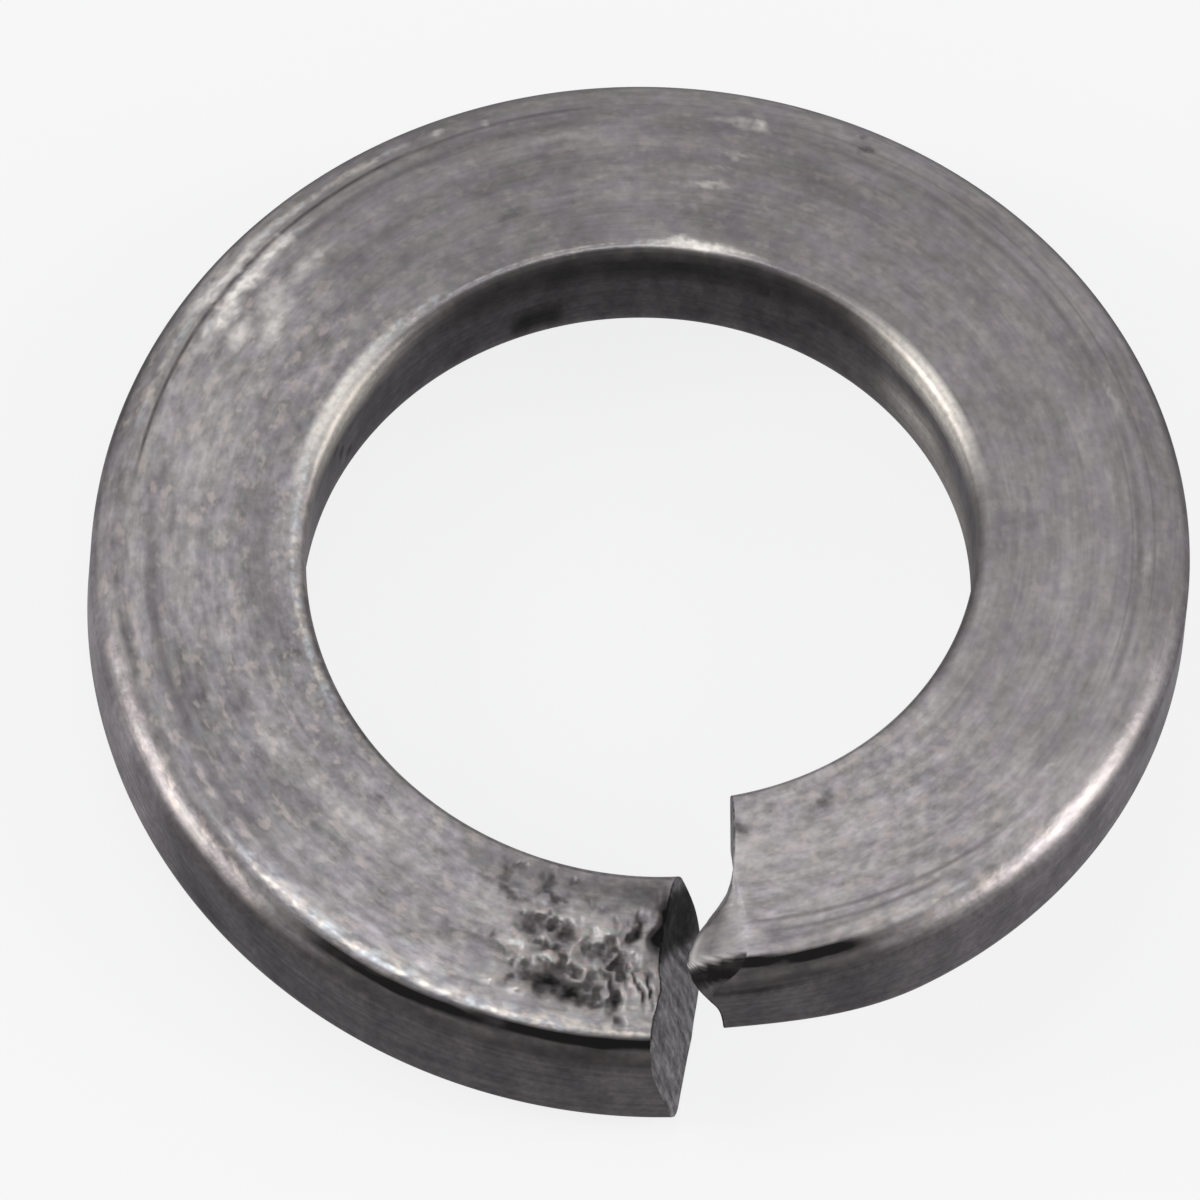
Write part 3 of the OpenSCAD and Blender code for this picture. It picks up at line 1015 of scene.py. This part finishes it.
def drawn_steel():
    """Rolled spring steel: bare on the face, with dark drawing scale on the walls and in the dents, painted
    highlights and glints, and the rim's painted dark reflection.
    """
    material, tree, bsdf = new_material("drawn_steel")
    here = tree.nodes.new("ShaderNodeTexCoord").outputs["Object"]
    face, relief, specks = bare_finish(tree, here)
    wire, turn, scale = wire_map(tree, "wire"), attribute(tree, "turn"), attribute(tree, "scale")
    dirt, rub_and_highlight, ridge = attribute(tree, "dirt"), attribute(tree, "rub_and_highlight"), attribute(tree, "ridge")
    darkening_share, bore_highlight = attribute(tree, "darkening_and_dark_reflection"), attribute(tree, "bore_painted_highlight")
    grit = noise(tree, here, FINE_GRIT, 3.0, 0.65)
    draw = wire_noise(tree, wire, 0.22, 9, 3.0, 0.6)
    stains = wire_noise(tree, wire, 1.1, 0.7, 3.0, 0.6)
    # Painted light: the walls are made paler on two stretches of the turn, the sides towards the two side
    # lamps
    side = product(tree, window(tree, turn, 44, 74, 30), 0.95)
    side = maths(tree, "ADD", side, product(tree, window(tree, turn, 262, 284, 18), 1.5))
    wall = blend_colour(tree, ramp(tree, draw, 0.3, 0.7), *SCALE)
    wall = toned(tree, wall, maths(tree, "ADD", side, 1.0))
    wall = toned(tree, wall, swing(tree, stains, 0.24))
    wall = toned(tree, wall, swing(tree, grit, 0.16))
    colour = blend_colour(tree, scale, face, wall)
    # Painted highlights on the bore's edge and painted reflections down its wall
    rubbed = product(tree, bore_highlight, ramp(tree, draw, 0.3, 0.7, 0.75, 1.0))
    rubbed = product(tree, rubbed, ramp(tree, specks, 0.32, 0.6, 0.75, 1.0))
    colour = blend_colour(tree, rubbed, colour, BORE_HIGHLIGHT_METAL)
    # Rubbed places, and the painted highlights among them
    rub_and_highlight_share = product(tree, rub_and_highlight, ramp(tree, specks, 0.34, 0.6, 0.6, 1.0))
    colour = blend_colour(tree, rub_and_highlight_share, colour, RUB_AND_HIGHLIGHT_COLOUR)
    # The crushed patch's ridges, lighter with painted glints
    ridge_glint_tint = blend_colour(tree, ramp(tree, specks, 0.42, 0.58), *RIDGE_GLINT_METAL)
    colour = blend_colour(tree, product(tree, ridge, 0.8), colour, ridge_glint_tint)
    # Black of the dirt and of the darkening, with the rim's painted dark reflection
    black = product(tree, dirt, ramp(tree, specks, 0.3, 0.7, 1.10, 0.92))
    darkened_share = product(tree, darkening_share, ramp(tree, stains, 0.3, 0.7, 1.06, 0.92))
    black = maths(tree, "MINIMUM", maths(tree, "MAXIMUM", black, darkened_share), 1.0)
    colour = blend_colour(tree, black, colour, DIRT_AND_SHADE_BLACK)
    rough = maths(tree, "MULTIPLY_ADD", scale, 0.12, ramp(tree, draw, 0.3, 0.7, *DRAWN_ROUGH))
    rough = maths(tree, "MULTIPLY_ADD", black, 0.30, rough)
    rough = maths(tree, "MULTIPLY_ADD", bore_highlight, 0.14, rough)
    finish(tree, bsdf, colour, black, 0.9, rough)
    height = maths(tree, "MULTIPLY_ADD", maths(tree, "MULTIPLY", draw, scale), 0.8, relief)
    raised(tree, bsdf, height, FACE_RELIEF)
    return material


def sheared_steel():
    """Torn steel of the cut ends: grey streaks down a dark face, painted black shade in its hollows and under
    the lip, bare on the lip with painted shade down its slope and a painted highlight along its tip.
    """
    material, tree, bsdf = new_material("sheared_steel")
    here = tree.nodes.new("ShaderNodeTexCoord").outputs["Object"]
    face, relief, _ = bare_finish(tree, here)
    wire = wire_map(tree, "wire")
    darkening_share, smooth = attribute(tree, "end_painted_shade"), attribute(tree, "end_polish")
    tears = wire_noise(tree, wire, 6, 1.3, 3.0, 0.6)
    chips = wire_noise(tree, wire, 4, 4, 3.0, 0.6)
    grit = noise(tree, here, END_GRIT, 3.0, 0.6)
    torn_colour = blend_colour(tree, ramp(tree, tears, 0.3, 0.7), *TORN_STEEL)
    torn_colour = toned(tree, torn_colour, swing(tree, chips, 0.3))
    torn_colour = toned(tree, torn_colour, swing(tree, grit, 0.15))
    # Painted shade down the lip's slope
    shaded_slope = blend_colour(tree, attribute(tree, "end_slope_shade"), face, SLOPE_SHADE)
    colour = blend_colour(tree, smooth, torn_colour, shaded_slope)
    # Painted shade: black in the low end's pit and under the lip
    dark = product(tree, darkening_share, ramp(tree, chips, 0.3, 0.7, 1.02, 0.92))
    colour = blend_colour(tree, dark, colour, PAINTED_SHADE_BLACK)
    # Painted highlight along the lip's tip, side and brow
    colour = blend_colour(tree, attribute(tree, "end_painted_highlight"), colour, TIP_HIGHLIGHT)
    rough = maths(tree, "MULTIPLY_ADD", dark, 0.3, ramp(tree, smooth, 0, 1, TORN_ROUGH, LIP_ROUGH))
    finish(tree, bsdf, colour, dark, 0.85, rough)
    height = maths(tree, "ADD", tears, product(tree, grit, 0.4))
    height = maths(tree, "MULTIPLY", height, ramp(tree, smooth, 0, 1, 1.0, 0.0))
    raised(tree, bsdf, maths(tree, "ADD", height, relief), END_RELIEF)
    return material


washer = washer_mesh()
washer.data.materials.append(drawn_steel())
washer.data.materials.append(sheared_steel())
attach(washer, "root")
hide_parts("spring_washer")

# ---------------------------------------------------------------- floor

# A pale sheet two metres across, nearly white to the camera and in reflections: half its width, its colour
# and roughness, and the colour and share of its glow
FLOOR_HALF = 1.0
FLOOR_GREY = (0.9, 0.9, 0.9, 1)
FLOOR_ROUGH = 0.9
FLOOR_GLOW = (0.968, 0.97, 0.972, 1)
GLOW_SHARE = 0.85

floor_mesh = bpy.data.meshes.new("floor")
corners = [(x * FLOOR_HALF, y * FLOOR_HALF, 0) for x, y in ((-1, -1), (1, -1), (1, 1), (-1, 1))]
floor_mesh.from_pydata(corners, [], [(0, 1, 2, 3)])
floor = bpy.data.objects.new("floor", floor_mesh)
bpy.context.scene.collection.objects.link(floor)
paper_material, tree, paper = new_material("paper")
paper.inputs["Base Color"].default_value = FLOOR_GREY
paper.inputs["Roughness"].default_value = FLOOR_ROUGH
paper.inputs["Specular IOR Level"].default_value = 0.0
white = tree.nodes.new("ShaderNodeEmission")
white.inputs["Color"].default_value = FLOOR_GLOW
rays = tree.nodes.new("ShaderNodeLightPath")
seen = maths(tree, "MAXIMUM", rays.outputs["Is Camera Ray"], rays.outputs["Is Glossy Ray"])
both = tree.nodes.new("ShaderNodeMixShader")
socket(tree, maths(tree, "MULTIPLY", seen, GLOW_SHARE), both.inputs[0])
tree.links.new(paper.outputs[0], both.inputs[1])
tree.links.new(white.outputs[0], both.inputs[2])
tree.links.new(both.outputs[0], tree.nodes["Material Output"].inputs["Surface"])
floor.data.materials.append(paper_material)

# ---------------------------------------------------------------- light

# Where the camera stands, in degrees round the bore's axis from the front
CAMERA_TURN = 11.4
# Colour of the studio, its level as plain light, and in reflections those of its rear, its sides
# and the dark place in front and above, whose middle lies in this direction
SKY = (0.965, 0.965, 0.97, 1)
SKY_LEVEL = 0.45
REAR_LEVEL = 0.9
ASIDE_LEVEL = 0.5
DARK_LEVEL = 0.03
DARK_MIDDLE = (0, -0.38, 0.925)
# Colours of the lamps at the sides and overhead
WARM = (1, 0.97, 0.93)
COOL = (0.92, 0.96, 1)


def from_camera_side(x, y, z):
    """Turns a direction given with the camera in front into the washer's frame."""
    a = math.radians(-CAMERA_TURN)
    return Vector((x * math.cos(a) - y * math.sin(a), x * math.sin(a) + y * math.cos(a), z))


def facing(tree, way, direction):
    """Cosine of the angle between a ray and a direction."""
    node = tree.nodes.new("ShaderNodeVectorMath")
    node.operation = "DOT_PRODUCT"
    tree.links.new(way, node.inputs[0])
    node.inputs[1].default_value = direction
    return node.outputs["Value"]


def studio():
    """White all round to the camera; reflections meet a bright rear, and a dark place round the camera."""
    world = bpy.data.worlds.new("studio")
    bpy.context.scene.world = world
    world.use_nodes = True
    tree = world.node_tree
    sky = tree.nodes["Background"]
    sky.inputs["Color"].default_value = SKY
    way = tree.nodes.new("ShaderNodeTexCoord").outputs["Generated"]
    rear = ramp(tree, facing(tree, way, from_camera_side(0, 1, 0)), -0.15, 0.1, DARK_LEVEL, REAR_LEVEL)
    near_dark = facing(tree, way, from_camera_side(*DARK_MIDDLE))
    aside = ramp(tree, near_dark, 0.80, 0.95, ASIDE_LEVEL, DARK_LEVEL)
    rays = tree.nodes.new("ShaderNodeLightPath")
    level = tree.nodes.new("ShaderNodeMix")
    socket(tree, rays.outputs["Is Glossy Ray"], level.inputs[0])
    level.inputs[2].default_value = SKY_LEVEL
    socket(tree, maths(tree, "MAXIMUM", rear, aside), level.inputs[3])
    strength = maths(tree, "MAXIMUM", level.outputs[0], rays.outputs["Is Camera Ray"])
    socket(tree, strength, sky.inputs["Strength"])


def softbox(name, direction, distance, width, height, radiance, colour):
    """A rectangular lamp that faces the washer; its power is radiance times pi times its area."""
    data = bpy.data.lights.new(name, "AREA")
    data.shape = "RECTANGLE"
    data.size = width
    data.size_y = height
    data.energy = radiance * math.pi * width * height
    data.color = colour
    lamp = bpy.data.objects.new(name, data)
    bpy.context.scene.collection.objects.link(lamp)
    aim = direction.normalized()
    lamp.location = aim * distance
    lamp.rotation_euler = aim.to_track_quat("Z", "Y").to_euler()


studio()
softbox("left_box", from_camera_side(-0.82, -0.14, 0.55), 0.3, 0.11, 0.18, 4.6, WARM)
softbox("right_box", from_camera_side(0.86, 0.02, 0.50), 0.3, 0.11, 0.18, 4.0, WARM)
softbox("top_box", from_camera_side(-0.11, 0.12, 0.985), 0.35, 0.08, 0.05, 6, COOL)

# ---------------------------------------------------------------- camera

# Lens and sensor in millimetres, distance in metres, height of the view and roll of the camera in degrees
LENS = 1645.4
SENSOR = 36.0
DISTANCE = 1.02
ELEVATION = 60.06
ROLL = 5.3
# The camera's shift to its right and upwards in its view, and the height at which it meets the bore's axis
AIM = Vector((-0.7136, -0.3902, 2.7472)) * MM

view = bpy.data.cameras.new("camera")
view.sensor_width = SENSOR
view.lens = LENS
view.clip_start = 0.1
view.clip_end = 10.0
camera = bpy.data.objects.new("camera", view)
bpy.context.scene.collection.objects.link(camera)
bpy.context.scene.camera = camera
elevation, tilt = math.radians(ELEVATION), math.radians(ROLL)
back = from_camera_side(0, -math.cos(elevation), math.sin(elevation))
level_side = from_camera_side(1, 0, 0)
level_top = back.cross(level_side)
right = level_side * math.cos(tilt) + level_top * math.sin(tilt)
top = level_top * math.cos(tilt) - level_side * math.sin(tilt)
place = back * DISTANCE + right * AIM.x + top * AIM.y + Vector((0, 0, AIM.z))
camera.matrix_world = Matrix.Translation(place) @ Matrix((right, top, back)).transposed().to_4x4()

bpy.context.scene.view_settings.view_transform = "Standard"
